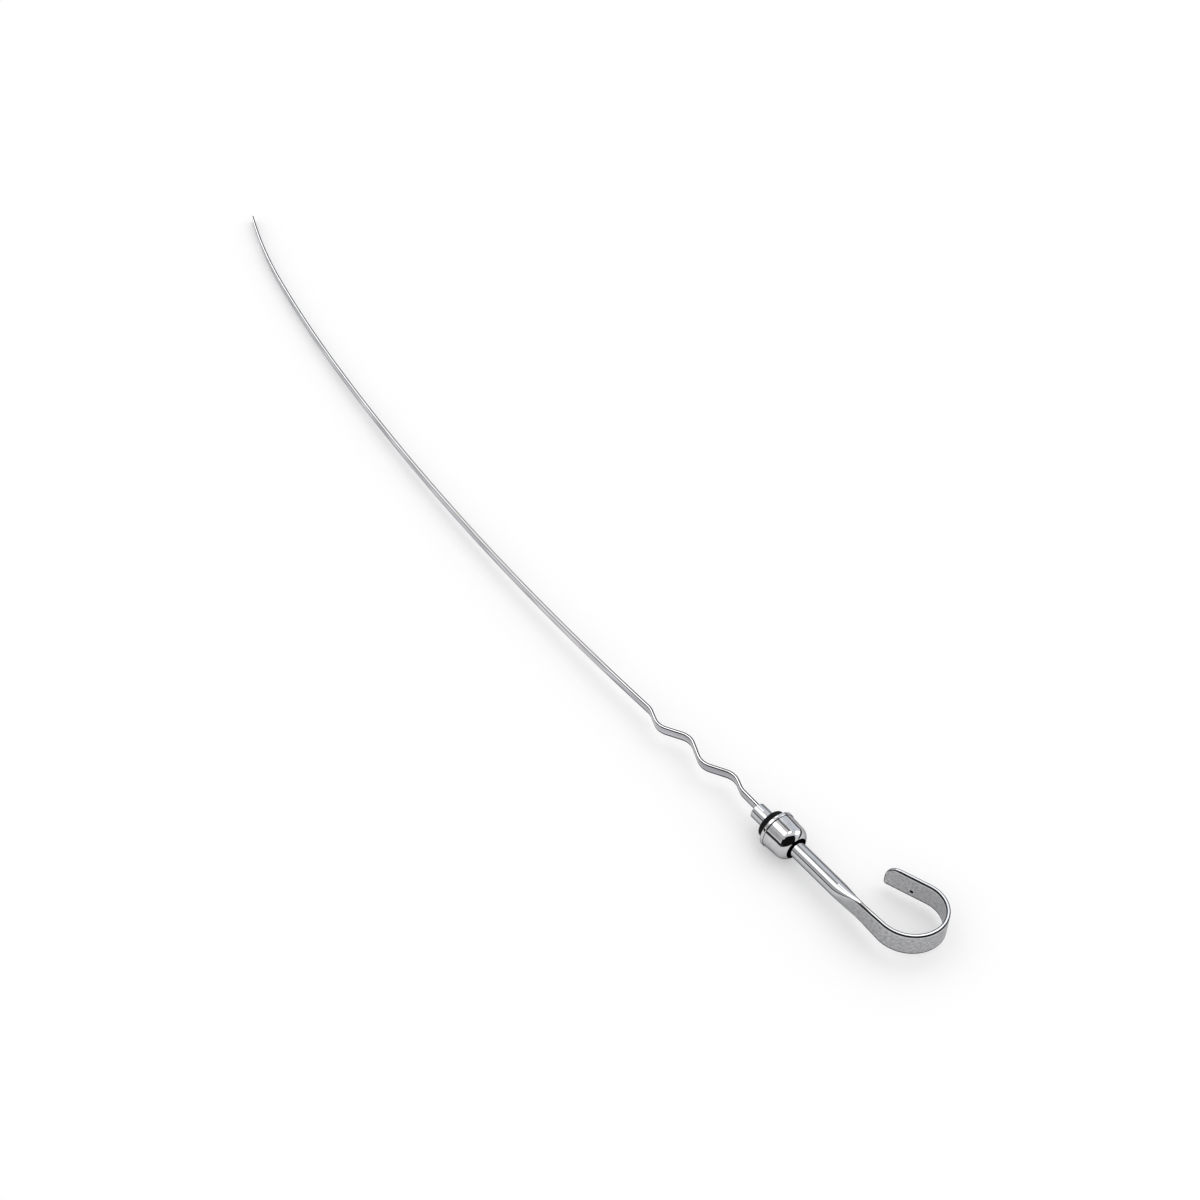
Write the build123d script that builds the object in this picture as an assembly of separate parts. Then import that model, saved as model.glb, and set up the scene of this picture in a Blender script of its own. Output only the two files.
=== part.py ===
"""Engine oil dipstick: a waved, bowed blade in a tube handle with a finger hook, a bell cap and a seal.

It is drawn with the tube's axis along X and the seal's seating face at X = 0, handle towards +X, and is then
turned as it lies on a table: on the cap's rim and on the lower edge of the blade.
"""
from build123d import *
import os
from math import acos, asin, atan, cos, degrees, pi, radians, sin, tan

# Handle tube, in millimetres
TUBE_DIAMETER = 6.35
TUBE_WALL = 0.7
SHANK_REACH = 7.2
SHANK_EDGE_BEVEL = 0.2

# Finger hook, pressed flat from the tube
FLATTEN_START = 36.0
FLATTEN_LENGTH = 13.9
FLATTEN_STATIONS = (0.0, 0.06, 0.25, 0.5, 0.75, 0.94, 1.0)
BORE_STATIONS = (0.0, 0.3, 0.5)
FOLD_FACETS = 16
PRESSED_WIDTH = 9.7
HOOK_STRAIGHT = 9.35
HOOK_WIDE_RADIUS = 13.55
HOOK_WIDE_TURN = 94.3
HOOK_TIGHT_RADIUS = 11.5
HOOK_TIGHT_TURN = 105.7
HOOK_LEG = 16.9
HOOK_ROLL_DEG = 5.5
LEG_TOP_ROUND = 5.5
LEG_LOW_ROUND = 1.0
VENT_DIAMETER = 1.4
VENT_FROM_END = 10.85
VENT_BELOW_AXIS = 2.2

# Blade
BLADE_WIDTH = 4.2
BLADE_THICKNESS = 0.95
BLADE_EDGE_BEVEL = 0.25
ROOT_STRAIGHT = 17.2
ROOT_DRIFT = 1.05
WAVE_COUNT = 2
WAVE_LEAD = (7.05, 2.55)
WAVE_FALL = (11.9, 6.46)
WAVE_RISE = (12.25, 4.9)
WAVE_TAIL = (8.3, 3.0)
WAVE_BEND_RADIUS = 7.4
BOW_LEAD = 6.0
BOW_LEAD_DEG = 1.6
BOW_RADIUS = 1490.0
BOW_LENGTH = 248.0
SWEEP_RADIUS = 970.0
SWEEP_LENGTH = 64.5
CURL_RADIUS = 340.0
CURL_LENGTH = 54.8
TIP_ROUND = 1.6
LEVEL_MARKS_FROM_TIP = (24.0, 48.0)
LEVEL_MARK_WIDTH = 0.6
LEVEL_MARK_DEPTH = 0.15

# Bell cap
BODY_DIAMETER = 14.5
BODY_LENGTH = 7.7
BODY_TAPER_DEG = 2.8
SHOULDER_FLATNESS = 0.70
RIM_LIP_HEIGHT = 0.35
RIM_LIP_LENGTH = 1.1
RIM_LIP_RUNOUT = 0.3
RIM_EDGE_BEVEL = 0.2
CAP_HOLE_DIAMETER = 9.0
CAP_WALL = 0.6

# Rubber seal
SEAL_PROUD = 3.3
NOSE_DIAMETER = 11.6
NOSE_BEVEL = 0.8
FLANGE_SET_IN = 0.5
FLANGE_TAPER_LENGTH = 1.6
FLANGE_TAPER_DEPTH = 1.1
FIT_CLEARANCE = 0.03

# Weights for the resting pose, in grams per cubic millimetre
STEEL_DENSITY = 0.00785
RUBBER_DENSITY = 0.0012
EDGE_SAMPLES = 120
TILT_SEARCH_DEG = 20.0
TILT_SEARCH_STEPS = 32

TUBE_RADIUS = TUBE_DIAMETER / 2
FLATTEN_END = FLATTEN_START + FLATTEN_LENGTH
BEND_START = FLATTEN_END + HOOK_STRAIGHT
HOOK_ROLL = Rot(X=-HOOK_ROLL_DEG)
RIM_RADIUS = BODY_DIAMETER / 2 + RIM_LIP_HEIGHT
BODY_TAPER_LENGTH = BODY_LENGTH - RIM_LIP_LENGTH - RIM_LIP_RUNOUT
BODY_END_RADIUS = BODY_DIAMETER / 2 - BODY_TAPER_LENGTH * tan(radians(BODY_TAPER_DEG))
CAP_BORE_RADIUS = BODY_END_RADIUS - CAP_WALL
CUT_MARGIN = TUBE_DIAMETER


def pressed(station):
    """Half thickness, half flat width and roundness at a share of the way from round to flat."""
    eased = (1 - cos(pi * station)) / 2
    half_thickness = TUBE_RADIUS - (TUBE_RADIUS - TUBE_WALL) * eased
    return half_thickness, (PRESSED_WIDTH / 2 - TUBE_WALL) * eased, 1 - eased


def tube_section(x, half_thickness, half_flat, roundness):
    """A section across the axis, thin along Y and tall along Z: two broad sides and two bevelled folds.

    Its facets bulge to arcs of one circle at a roundness of 1 and are straight at 0.
    """
    half_facet = pi / FOLD_FACETS
    reach = half_thickness * (roundness + (1 - roundness) / cos(half_facet))
    bulge = half_thickness * (1 - cos(half_facet)) * roundness
    corners = []
    for i in range(FOLD_FACETS):
        angle = (2 * i + 1) * half_facet
        lift = half_flat if sin(angle) > 0 else -half_flat
        corners.append(Vector(reach * cos(angle), reach * sin(angle) + lift))
    sides = []
    for i, start in enumerate(corners):
        end = corners[(i + 1) % FOLD_FACETS]
        out = Vector(cos(2 * (i + 1) * half_facet), sin(2 * (i + 1) * half_facet))
        middle = (start + end) / 2 + out * bulge
        sides.append(ThreePointArc(start, middle, end) if bulge > 0 else Line(start, end))
    across = Plane(origin=(x, 0, 0), x_dir=(0, 1, 0), z_dir=(1, 0, 0))
    return across * make_face(sides)


def flattening(inset, stations, ruled):
    """The stretch of tube that goes from round to flat, drawn in by an inset for its bore."""
    sections = []
    for station in stations:
        half_thickness, half_flat, roundness = pressed(station)
        x = FLATTEN_START + FLATTEN_LENGTH * station
        sections.append(tube_section(x, half_thickness - inset, half_flat, roundness))
    return loft(sections, ruled=ruled)


def grip_station():
    """The share of the flattening at which the bore has closed on the blade."""
    half_thickness = BLADE_THICKNESS / 2 + FIT_CLEARANCE + TUBE_WALL
    eased = (TUBE_RADIUS - half_thickness) / (TUBE_RADIUS - TUBE_WALL)
    return acos(1 - 2 * eased) / pi


def along_x(radius, start, end):
    """A cylinder on the tube's axis between two places."""
    return Plane(origin=(start, 0, 0), z_dir=(1, 0, 0)) * Cylinder(
        radius, end - start, align=(Align.CENTER, Align.CENTER, Align.MIN)
    )


def hook_path():
    """Middle line of the hook past its straight: a wide bend, a tighter one and the free leg."""
    wide = JernArc((BEND_START, 0), (1, 0), HOOK_WIDE_RADIUS, HOOK_WIDE_TURN)
    tight = JernArc(wide @ 1, wide % 1, HOOK_TIGHT_RADIUS, HOOK_TIGHT_TURN)
    leg = Line(tight @ 1, tight @ 1 + (tight % 1) * HOOK_LEG)
    return Wire([wide, tight, leg])


def end_plane(path):
    """Plane at the end of a strip's middle line: X runs out of the end, Y is up and Z crosses the strip."""
    outward = path % 1
    return Plane(origin=path @ 1, x_dir=outward, z_dir=outward.cross(Vector(0, 0, 1)))


def corner_cut(plane, half_width, radius, side):
    """What rounding takes off a corner of a strip's end, the upper one for side 1, the lower for side -1."""
    size = radius + CUT_MARGIN
    middle = (size - 2 * radius) / 2
    block = Pos(middle, side * (half_width + middle)) * Rectangle(size, size)
    disc = Pos(-radius, side * (half_width - radius)) * Circle(radius)
    return extrude(plane * (block - disc), amount=CUT_MARGIN, both=True)


def make_hook():
    """The flat strip round its bends to its rounded leg, with the vent, rolled about the tube's axis."""
    path = hook_path()
    hook = sweep(tube_section(BEND_START, *pressed(1.0)), path)
    leg_end = end_plane(path)
    hook -= corner_cut(leg_end, PRESSED_WIDTH / 2, LEG_TOP_ROUND, 1)
    hook -= corner_cut(leg_end, PRESSED_WIDTH / 2, LEG_LOW_ROUND, -1)
    hook -= leg_end * Pos(-VENT_FROM_END, -VENT_BELOW_AXIS) * Cylinder(VENT_DIAMETER / 2, CUT_MARGIN)
    return HOOK_ROLL * hook


def make_handle():
    """One tube: round shank, a stretch pressed flat, a slightly twisted straight and the finger hook."""
    flat = tube_section(FLATTEN_END, *pressed(1.0))
    rolled = HOOK_ROLL * tube_section(BEND_START, *pressed(1.0))
    handle = along_x(TUBE_RADIUS, -SHANK_REACH, FLATTEN_START) + flattening(0, FLATTEN_STATIONS, False)
    handle += loft([flat, rolled], ruled=True) + make_hook()
    handle -= along_x(TUBE_RADIUS - TUBE_WALL, -SHANK_REACH, FLATTEN_START)
    handle -= flattening(TUBE_WALL, (*BORE_STATIONS, grip_station()), True)
    shank_end = handle.edges().filter_by(GeomType.CIRCLE).group_by(Axis.X)[0]
    return chamfer(shank_end, SHANK_EDGE_BEVEL)


def blade_path():
    """Middle line of the blade, from its root in the tube through the waves and the bow to the tip."""
    root = Vector(FLATTEN_START + FLATTEN_LENGTH * grip_station() - FIT_CLEARANCE, 0)
    points = [root, Vector(-ROOT_STRAIGHT, ROOT_DRIFT)]
    points.append(points[-1] + Vector(-WAVE_LEAD[0], WAVE_LEAD[1]))
    for wave in range(WAVE_COUNT):
        points.append(points[-1] - Vector(*WAVE_FALL))
        last = wave == WAVE_COUNT - 1
        along, across = WAVE_TAIL if last else WAVE_RISE
        points.append(points[-1] + Vector(-along, across))
    lead = Vector(-cos(radians(BOW_LEAD_DEG)), -sin(radians(BOW_LEAD_DEG)))
    points.append(points[-1] + lead * BOW_LEAD)
    waves = FilletPolyline(*points, radius=WAVE_BEND_RADIUS)
    bow = JernArc(waves @ 1, lead, BOW_RADIUS, -degrees(BOW_LENGTH / BOW_RADIUS))
    swept = JernArc(bow @ 1, bow % 1, SWEEP_RADIUS, -degrees(SWEEP_LENGTH / SWEEP_RADIUS))
    curl = JernArc(swept @ 1, swept % 1, CURL_RADIUS, -degrees(CURL_LENGTH / CURL_RADIUS))
    return Wire([*waves.edges(), bow, swept, curl])


def make_blade():
    """A flat strip on edge with bevelled edges, a rounded tip and two level marks across its far face."""
    path = blade_path()
    start = Plane(origin=path @ 0, x_dir=(0, 0, 1), z_dir=path % 0)
    outline = Rectangle(BLADE_WIDTH, BLADE_THICKNESS)
    blade = sweep(start * chamfer(outline.vertices(), BLADE_EDGE_BEVEL), path)
    tip = end_plane(path)
    for side in (1, -1):
        blade -= corner_cut(tip, BLADE_WIDTH / 2, TIP_ROUND, side)
    for distance in LEVEL_MARKS_FROM_TIP:
        place = 1 - distance / path.length
        mark = Plane(origin=path @ place, x_dir=path % place, z_dir=(0, 0, 1))
        groove = Box(LEVEL_MARK_WIDTH, 2 * LEVEL_MARK_DEPTH, BLADE_WIDTH + CUT_MARGIN)
        blade -= mark * Pos(0, -BLADE_THICKNESS / 2) * groove
    return blade


def make_cap():
    """A pressed bell: a small lip at the rim, a slightly tapered body, an oval shoulder and a wide hole."""
    rim_x = SEAL_PROUD
    lip_x = rim_x + RIM_LIP_LENGTH
    shoulder_x = rim_x + BODY_LENGTH
    hole = CAP_HOLE_DIAMETER / 2
    tangent = atan(1 / (SHOULDER_FLATNESS * tan(radians(BODY_TAPER_DEG))))
    oval_across = BODY_END_RADIUS / sin(tangent)
    oval_along = SHOULDER_FLATNESS * oval_across
    oval_x = shoulder_x - oval_along * cos(tangent)
    hole_deg = degrees(asin(hole / oval_across))
    top_x = oval_x + oval_along * cos(radians(hole_deg))
    outside = Polyline(
        (rim_x, CAP_BORE_RADIUS),
        (rim_x, RIM_RADIUS - RIM_EDGE_BEVEL),
        (rim_x + RIM_EDGE_BEVEL, RIM_RADIUS),
        (lip_x, RIM_RADIUS),
        (lip_x + RIM_LIP_RUNOUT, BODY_DIAMETER / 2),
        (shoulder_x, BODY_END_RADIUS),
    )
    shoulder_deg = degrees(tangent) - hole_deg
    shoulder = EllipticalCenterArc((oval_x, 0), oval_along, oval_across, hole_deg, arc_size=shoulder_deg)
    inside = Polyline(
        (top_x, hole),
        (top_x - CAP_WALL, hole),
        (shoulder_x, CAP_BORE_RADIUS),
        (rim_x, CAP_BORE_RADIUS),
    )
    return revolve(make_face([*outside.edges(), shoulder, *inside.edges()]), Axis.X)


def make_seal():
    """A rubber bush on the tube: a flange that fills the cap and a bevelled nose that stands out of it."""
    bore = TUBE_RADIUS + FIT_CLEARANCE
    nose = NOSE_DIAMETER / 2
    flange = CAP_BORE_RADIUS - FIT_CLEARANCE
    flange_start = SEAL_PROUD + FLANGE_SET_IN
    back = SEAL_PROUD + BODY_LENGTH
    flange_end = back - FLANGE_TAPER_LENGTH
    outline = Polyline(
        (0, bore),
        (0, nose - NOSE_BEVEL),
        (NOSE_BEVEL, nose),
        (flange_start, nose),
        (flange_start, flange),
        (flange_end, flange),
        (back, flange - FLANGE_TAPER_DEPTH),
        (back, bore),
        close=True,
    )
    return revolve(make_face(outline), Axis.X)


def lower_edge(path, half_width, half_thickness):
    """Points along both lower corners of a strip that stands on edge on a middle line."""
    points = []
    for i in range(EDGE_SAMPLES + 1):
        place = i / EDGE_SAMPLES
        sideways = (path % place).cross(Vector(0, 0, 1)) * half_thickness
        middle = path @ place - Vector(0, 0, half_width)
        points += [middle + sideways, middle - sideways]
    return points


def least(function, reach):
    """The place between -reach and reach where a function with one dip is lowest."""
    low, high = -reach, reach
    for _ in range(TILT_SEARCH_STEPS):
        third = (high - low) / 3
        if function(low + third) < function(high - third):
            high -= third
        else:
            low += third
    return (low + high) / 2


def resting_turn(pieces):
    """The small roll and pitch at which the centre of mass is as low as the rim, blade and hook let it be."""
    weights = {name: STEEL_DENSITY * piece.volume for name, piece in pieces.items()}
    weights["seal"] = RUBBER_DENSITY * pieces["seal"].volume
    moment = sum((pieces[n].center(CenterOf.MASS) * w for n, w in weights.items()), Vector(0, 0, 0))
    centre = moment / sum(weights.values())
    touching = lower_edge(blade_path(), BLADE_WIDTH / 2, BLADE_THICKNESS / 2 - BLADE_EDGE_BEVEL)
    hook = lower_edge(hook_path(), PRESSED_WIDTH / 2, TUBE_WALL * tan(pi / FOLD_FACETS))
    touching += [p.rotate(Axis.X, -HOOK_ROLL_DEG) for p in hook]
    corners = [(p.X, p.Y, p.Z) for p in touching]

    def centre_height(pitch, roll):
        sin_p, cos_p = sin(pitch), cos(pitch)
        sin_r, cos_r = sin(roll), cos(roll)
        floor = min(-x * sin_p + (y * sin_r + z * cos_r) * cos_p for x, y, z in corners)
        floor = min(floor, -SEAL_PROUD * sin_p - RIM_RADIUS * cos_p)
        return -centre.X * sin_p + (centre.Y * sin_r + centre.Z * cos_r) * cos_p - floor

    reach = radians(TILT_SEARCH_DEG)

    def level_pitch(roll):
        return least(lambda pitch: centre_height(pitch, roll), reach)

    roll = least(lambda r: centre_height(level_pitch(r), r), reach)
    return Rot(Y=degrees(level_pitch(roll))) * Rot(X=degrees(roll))


def main():
    pieces = {"handle": make_handle(), "blade": make_blade(), "cap": make_cap(), "seal": make_seal()}
    rest = resting_turn(pieces)
    os.makedirs("parts", exist_ok=True)
    for name, piece in pieces.items():
        export_step(rest * piece, f"parts/{name}.step")
    print("rest orientation (degrees about X, Y, Z):", rest.orientation)


main()
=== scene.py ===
"""Engine oil dipstick lying on a white table, dressed for its studio picture.

The four pieces are modelled in a drawing frame, in millimetres: the handle tube's axis is X, the seal's seating
face is at X = 0 and the blade stands on edge. Each is then turned as the dipstick lies and scaled to metres.
"""
import logging
from dataclasses import dataclass
from enum import Enum
from math import acos, asin, atan, atan2, copysign, cos, hypot, pi, radians, remainder, sin, sqrt, tan, tau
from typing import ClassVar, NamedTuple, Optional, Union

import bmesh
import bpy
from bpy.types import Material, NodeSocket, Object, World
from mathutils import Matrix, Vector


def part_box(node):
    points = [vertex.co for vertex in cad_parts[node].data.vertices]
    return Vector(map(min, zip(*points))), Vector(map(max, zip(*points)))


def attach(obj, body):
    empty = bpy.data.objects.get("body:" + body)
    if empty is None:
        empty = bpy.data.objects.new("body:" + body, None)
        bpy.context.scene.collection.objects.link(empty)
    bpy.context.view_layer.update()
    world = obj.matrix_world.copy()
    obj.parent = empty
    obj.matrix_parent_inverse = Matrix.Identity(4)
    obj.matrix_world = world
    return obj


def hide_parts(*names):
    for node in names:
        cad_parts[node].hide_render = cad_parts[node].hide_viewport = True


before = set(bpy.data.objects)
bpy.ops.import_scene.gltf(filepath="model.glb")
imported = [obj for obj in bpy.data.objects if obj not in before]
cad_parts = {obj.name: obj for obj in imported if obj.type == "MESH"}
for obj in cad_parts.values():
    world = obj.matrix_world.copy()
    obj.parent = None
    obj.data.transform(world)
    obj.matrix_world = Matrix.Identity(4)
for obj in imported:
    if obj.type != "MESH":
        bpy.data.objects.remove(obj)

MM = 0.001
BODY = "root"
REST_PITCH_DEG = -0.956478
REST_ROLL_DEG = 2.809239
REST = (
    Matrix.Scale(MM, 4)
    @ Matrix.Rotation(radians(REST_PITCH_DEG), 4, "Y")
    @ Matrix.Rotation(radians(REST_ROLL_DEG), 4, "X")
)
SMOOTH_BELOW_DEG = 38.0
MERGE_MM = 0.0005

LOG = logging.getLogger("dipstick")
Pair = tuple[float, float]
Triple = tuple[float, float, float]
Colour = Triple
Outline = list[Pair]


class Layer(Enum):
    """Marks that a piece carries for its finish: two on the vertices of a sweep and one on its faces."""

    UNBENT = "unbent"
    PRESSED = "pressed"
    BARE = "bare"


class Flow:
    """A number or colour on its way through a node tree. Sums and products of numbers add Math nodes."""

    def __init__(self, tree: "Tree", socket: NodeSocket) -> None:
        """Keeps the tree and the output socket."""
        self.tree = tree
        self.socket = socket

    def _math(self, operation: str, first: "Number", second: "Number") -> "Flow":
        """One Math node on two numbers."""
        return self.tree.node("ShaderNodeMath", {"operation": operation}, {0: first, 1: second})

    def __add__(self, other: "Number") -> "Flow":
        """Sum."""
        return self._math("ADD", self, other)

    __radd__ = __add__

    def __sub__(self, other: "Number") -> "Flow":
        """Difference."""
        return self._math("SUBTRACT", self, other)

    def __rsub__(self, other: "Number") -> "Flow":
        """Difference, with a plain number first."""
        return self._math("SUBTRACT", other, self)

    def __mul__(self, other: "Number") -> "Flow":
        """Product."""
        return self._math("MULTIPLY", self, other)

    __rmul__ = __mul__

    def __abs__(self) -> "Flow":
        """Size without its sign."""
        return self._math("ABSOLUTE", self, 0.0)

    def most(self, other: "Number") -> "Flow":
        """The larger of two numbers."""
        return self._math("MAXIMUM", self, other)

    def ramp(self, low: float, high: float) -> "Flow":
        """A smooth step from 0 at low to 1 at high."""
        sockets = {"Value": self, "From Min": low, "From Max": high}
        return self.tree.node("ShaderNodeMapRange", {"interpolation_type": "SMOOTHSTEP"}, sockets)

    def rise(self, low_mm: float, high_mm: float) -> "Flow":
        """A smooth step from 0 at one length to 1 at the other."""
        return self.ramp(low_mm * MM, high_mm * MM)

    def band(self, low_mm: float, high_mm: float, fade_mm: float) -> "Flow":
        """A share of 1 between two lengths, which fades to 0 outside them."""
        return self.rise(low_mm - fade_mm, low_mm) * self.rise(high_mm + fade_mm, high_mm)


Number = Union[Flow, float]


class Grain(NamedTuple):
    """A cloudy pattern: its lumps to the metre along each axis, its detail and how rough that is."""

    per_metre: Triple
    detail: float = 2.0
    roughness: float = 0.5


class Tree:
    """The nodes of one material or of the world."""

    def __init__(self, owner: Union[Material, World]) -> None:
        """Empties the owner's node tree.

        Args:
            owner: The material or world whose nodes are made.
        """
        owner.use_nodes = True
        self.tree = owner.node_tree
        self.tree.nodes.clear()

    def node(
        self,
        kind: str,
        settings: Optional[dict] = None,
        sockets: Optional[dict] = None,
        output: Union[int, str] = 0,
    ) -> Flow:
        """Adds one node.

        Args:
            kind: The node's type.
            settings: Its properties, set before its sockets.
            sockets: Values or flows of its input sockets, by name or number.
            output: The output socket that is handed on.

        Returns:
            The output as a flow, or a flow of nothing for a node that ends the tree.
        """
        made = self.tree.nodes.new(kind)
        for name, value in (settings or {}).items():
            setattr(made, name, value)
        for key, value in (sockets or {}).items():
            if isinstance(value, Flow):
                self.tree.links.new(value.socket, made.inputs[key])
            else:
                made.inputs[key].default_value = value
        return Flow(self, made.outputs[output] if len(made.outputs) else None)

    def blend(self, share: Number, first: Union[Flow, Colour], second: Union[Flow, Colour]) -> Flow:
        """Mixes two colours.

        Args:
            share: How much of the second colour shows.
            first: Colour at a share of 0.
            second: Colour at a share of 1.

        Returns:
            The mixed colour.
        """
        ends = [c if isinstance(c, Flow) else (*c, 1.0) for c in (first, second)]
        return self.node("ShaderNodeMix", {"data_type": "RGBA"}, {0: share, 6: ends[0], 7: ends[1]}, 2)

    def place(self) -> Flow:
        """The piece's own coordinates, in metres."""
        return self.node("ShaderNodeTexCoord", output="Object")

    def mark(self, layer: Layer, output: str) -> Flow:
        """A mark that a swept piece carries."""
        return self.node("ShaderNodeAttribute", {"attribute_name": layer.value}, output=output)

    def split(self, unbent: Flow) -> tuple[Flow, Flow, Flow]:
        """How far along a swept piece's middle line, to the right of it and above it a place is."""
        return tuple(self.node("ShaderNodeSeparateXYZ", sockets={0: unbent}, output=axis) for axis in "XYZ")

    def along_axis(self, at: Flow) -> Flow:
        """How far along the tube's axis a place is, in metres."""
        axis = (REST @ Vector((1.0, 0.0, 0.0))).normalized()
        return self.node("ShaderNodeVectorMath", {"operation": "DOT_PRODUCT"}, {0: at, 1: axis}, "Value")

    def noise(self, at: Flow, grain: Grain) -> Flow:
        """Cloudy noise.

        Args:
            at: Coordinates that it follows, in metres.
            grain: Its pattern.

        Returns:
            A number between 0 and 1.
        """
        scaled = self.node("ShaderNodeVectorMath", {"operation": "MULTIPLY"}, {0: at, 1: grain.per_metre})
        sockets = {"Vector": scaled, "Scale": 1.0, "Detail": grain.detail, "Roughness": grain.roughness}
        return self.node("ShaderNodeTexNoise", {}, sockets)

    def seen(self) -> Flow:
        """Tells rays that show a thing from rays that only light another.

        Returns:
            1 for a ray that shows a thing, straight or in a reflection, and otherwise 0.
        """
        rays = ("Is Camera Ray", "Is Glossy Ray", "Is Transmission Ray")
        camera, glossy, through = (self.node("ShaderNodeLightPath", output=ray) for ray in rays)
        return camera.most(glossy).most(through)

    def bump(self, height: Flow, depth_mm: float, strength: float) -> Flow:
        """A normal that is tilted by a height."""
        sockets = {"Height": height, "Distance": depth_mm * MM, "Strength": strength}
        return self.node("ShaderNodeBump", {}, sockets)

    def metal(self, colour: Flow, rough: Flow, normal: Flow, rim: Colour) -> Flow:
        """A bare metal, whose reflections take the rim's colour at a low angle."""
        sockets = {"Base Color": colour, "Metallic": 1.0, "Roughness": rough, "Normal": normal}
        return self.node("ShaderNodeBsdfPrincipled", {}, {**sockets, "Specular Tint": (*rim, 1.0)})

    def finish(self, shader: Flow, kind: str = "ShaderNodeOutputMaterial") -> None:
        """Ends the tree with its output node."""
        self.node(kind, sockets={"Surface": shader})


class Finish:
    """A finish with a name, whose shader surface() builds."""

    name: str

    def surface(self, tree: Tree) -> Flow:
        """Builds the shader of the finish."""
        raise NotImplementedError

    def material(self) -> Material:
        """Makes the material.

        Returns:
            A new material with the shader on its surface.
        """
        material = bpy.data.materials.new(self.name)
        tree = Tree(material)
        tree.finish(self.surface(tree))
        return material


@dataclass(frozen=True)
class HandlePlating(Finish):
    """Bright plating on the drawn tube, mirror-like where it is round and satin where the press flattened it."""

    name: str = "handle_chrome"
    bright: Colour = (0.52, 0.525, 0.535)
    clouded: Colour = (0.47, 0.475, 0.485)
    rim: Colour = (0.06, 0.06, 0.07)
    satin_rim: Colour = (0.85, 0.85, 0.87)
    satin: Colour = (0.54, 0.54, 0.55)
    satin_dark: Colour = (0.28, 0.28, 0.29)
    glint: Colour = (0.80, 0.80, 0.81)
    crown_highlight: Colour = (0.97, 0.97, 0.97)
    painted_outline: Colour = (0.03, 0.03, 0.033)
    vent_shade: Colour = (0.012, 0.011, 0.010)
    clouds: Grain = Grain((260.0,) * 3, 3.0)
    drawing: Grain = Grain((70.0, 2400.0, 2400.0))
    brushing: Grain = Grain((750.0, 1500.0, 1500.0), 3.0, 0.7)
    flat_share: Pair = (0.72, 1.0)
    cloud_share: Pair = (0.35, 0.75)
    haze_share: Pair = (0.4, 0.8)
    brush_share: Pair = (0.32, 0.68)
    glint_share: float = 0.6
    polish: float = 0.025
    haze_roughness: float = 0.03
    drawn_roughness: float = 0.015
    satin_roughness: float = 0.22
    brush_roughness: float = 0.2
    bare_roughness: float = 0.6
    drawn_height: float = 0.1
    bump_mm: float = 0.02
    bump_strength: float = 0.5
    fold_mm: Pair = (4.35, 4.5)
    glint_mm: Pair = (3.75, 4.0)
    glint_fade_mm: float = 0.1
    margin_mm: Pair = (4.15, 4.3)
    face_mm: Pair = (0.62, 0.66)
    leg_end_mm: Pair = (119.3, 119.45)
    painted_outline_mm: Pair = (0.28, 0.69)
    painted_outline_fade_mm: float = 0.01

    def surface(self, tree: Tree) -> Flow:
        """Builds the plating.

        Args:
            tree: The material's nodes.

        Returns:
            The shader.
        """
        unbent = tree.mark(Layer.UNBENT, "Vector")
        pressed = tree.mark(Layer.PRESSED, "Fac")
        bare = tree.mark(Layer.BARE, "Fac")
        along, side, up = tree.split(unbent)
        fold = abs(up).rise(*self.fold_mm)
        flat = pressed.ramp(*self.flat_share)
        edge = flat * fold
        dull = flat * (1 - fold)
        clouds = tree.noise(tree.place(), self.clouds)
        drawn = tree.noise(unbent, self.drawing)
        grain = tree.noise(unbent, self.brushing)
        rough = self.polish + self.haze_roughness * clouds.ramp(*self.haze_share) + self.drawn_roughness * drawn
        rough = rough + dull * (self.satin_roughness + self.brush_roughness * grain) + self.bare_roughness * bare
        height = drawn * (1 - dull) * self.drawn_height + grain * dull
        mirror = tree.blend(clouds.ramp(*self.cloud_share), self.bright, self.clouded)
        satin = tree.blend(grain.ramp(*self.brush_share), self.satin_dark, self.satin)
        # Painted highlight: a light line is painted along the face just under its upper fold.
        glint = self.glint_share * up.band(*self.glint_mm, self.glint_fade_mm)
        plated = tree.blend(dull, mirror, tree.blend(glint, satin, self.glint))
        # Painted highlight: each fold's crown is painted near-white, for a bright strip along the ribbon's edges.
        plated = tree.blend(edge, plated, self.crown_highlight)
        # Painted shade: dark lines are painted on the folds' corners, along the faces' margins next to the folds
        # and across the leg's end.
        outline = abs(side).band(*self.painted_outline_mm, self.painted_outline_fade_mm)
        outline = outline.most(abs(up).rise(*self.margin_mm) * abs(side).rise(*self.face_mm))
        outline = outline.most(along.rise(*self.leg_end_mm))
        plated = tree.blend(flat * outline, plated, self.painted_outline)
        # Painted shade: the vent's wall is painted near-black for the shade inside the hole.
        colour = tree.blend(bare, plated, self.vent_shade)
        normal = tree.bump(height, self.bump_mm, self.bump_strength)
        bright, brushed = (tree.metal(colour, rough, normal, rim) for rim in (self.rim, self.satin_rim))
        return tree.node("ShaderNodeMixShader", sockets={0: dull, 1: bright, 2: brushed})


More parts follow.
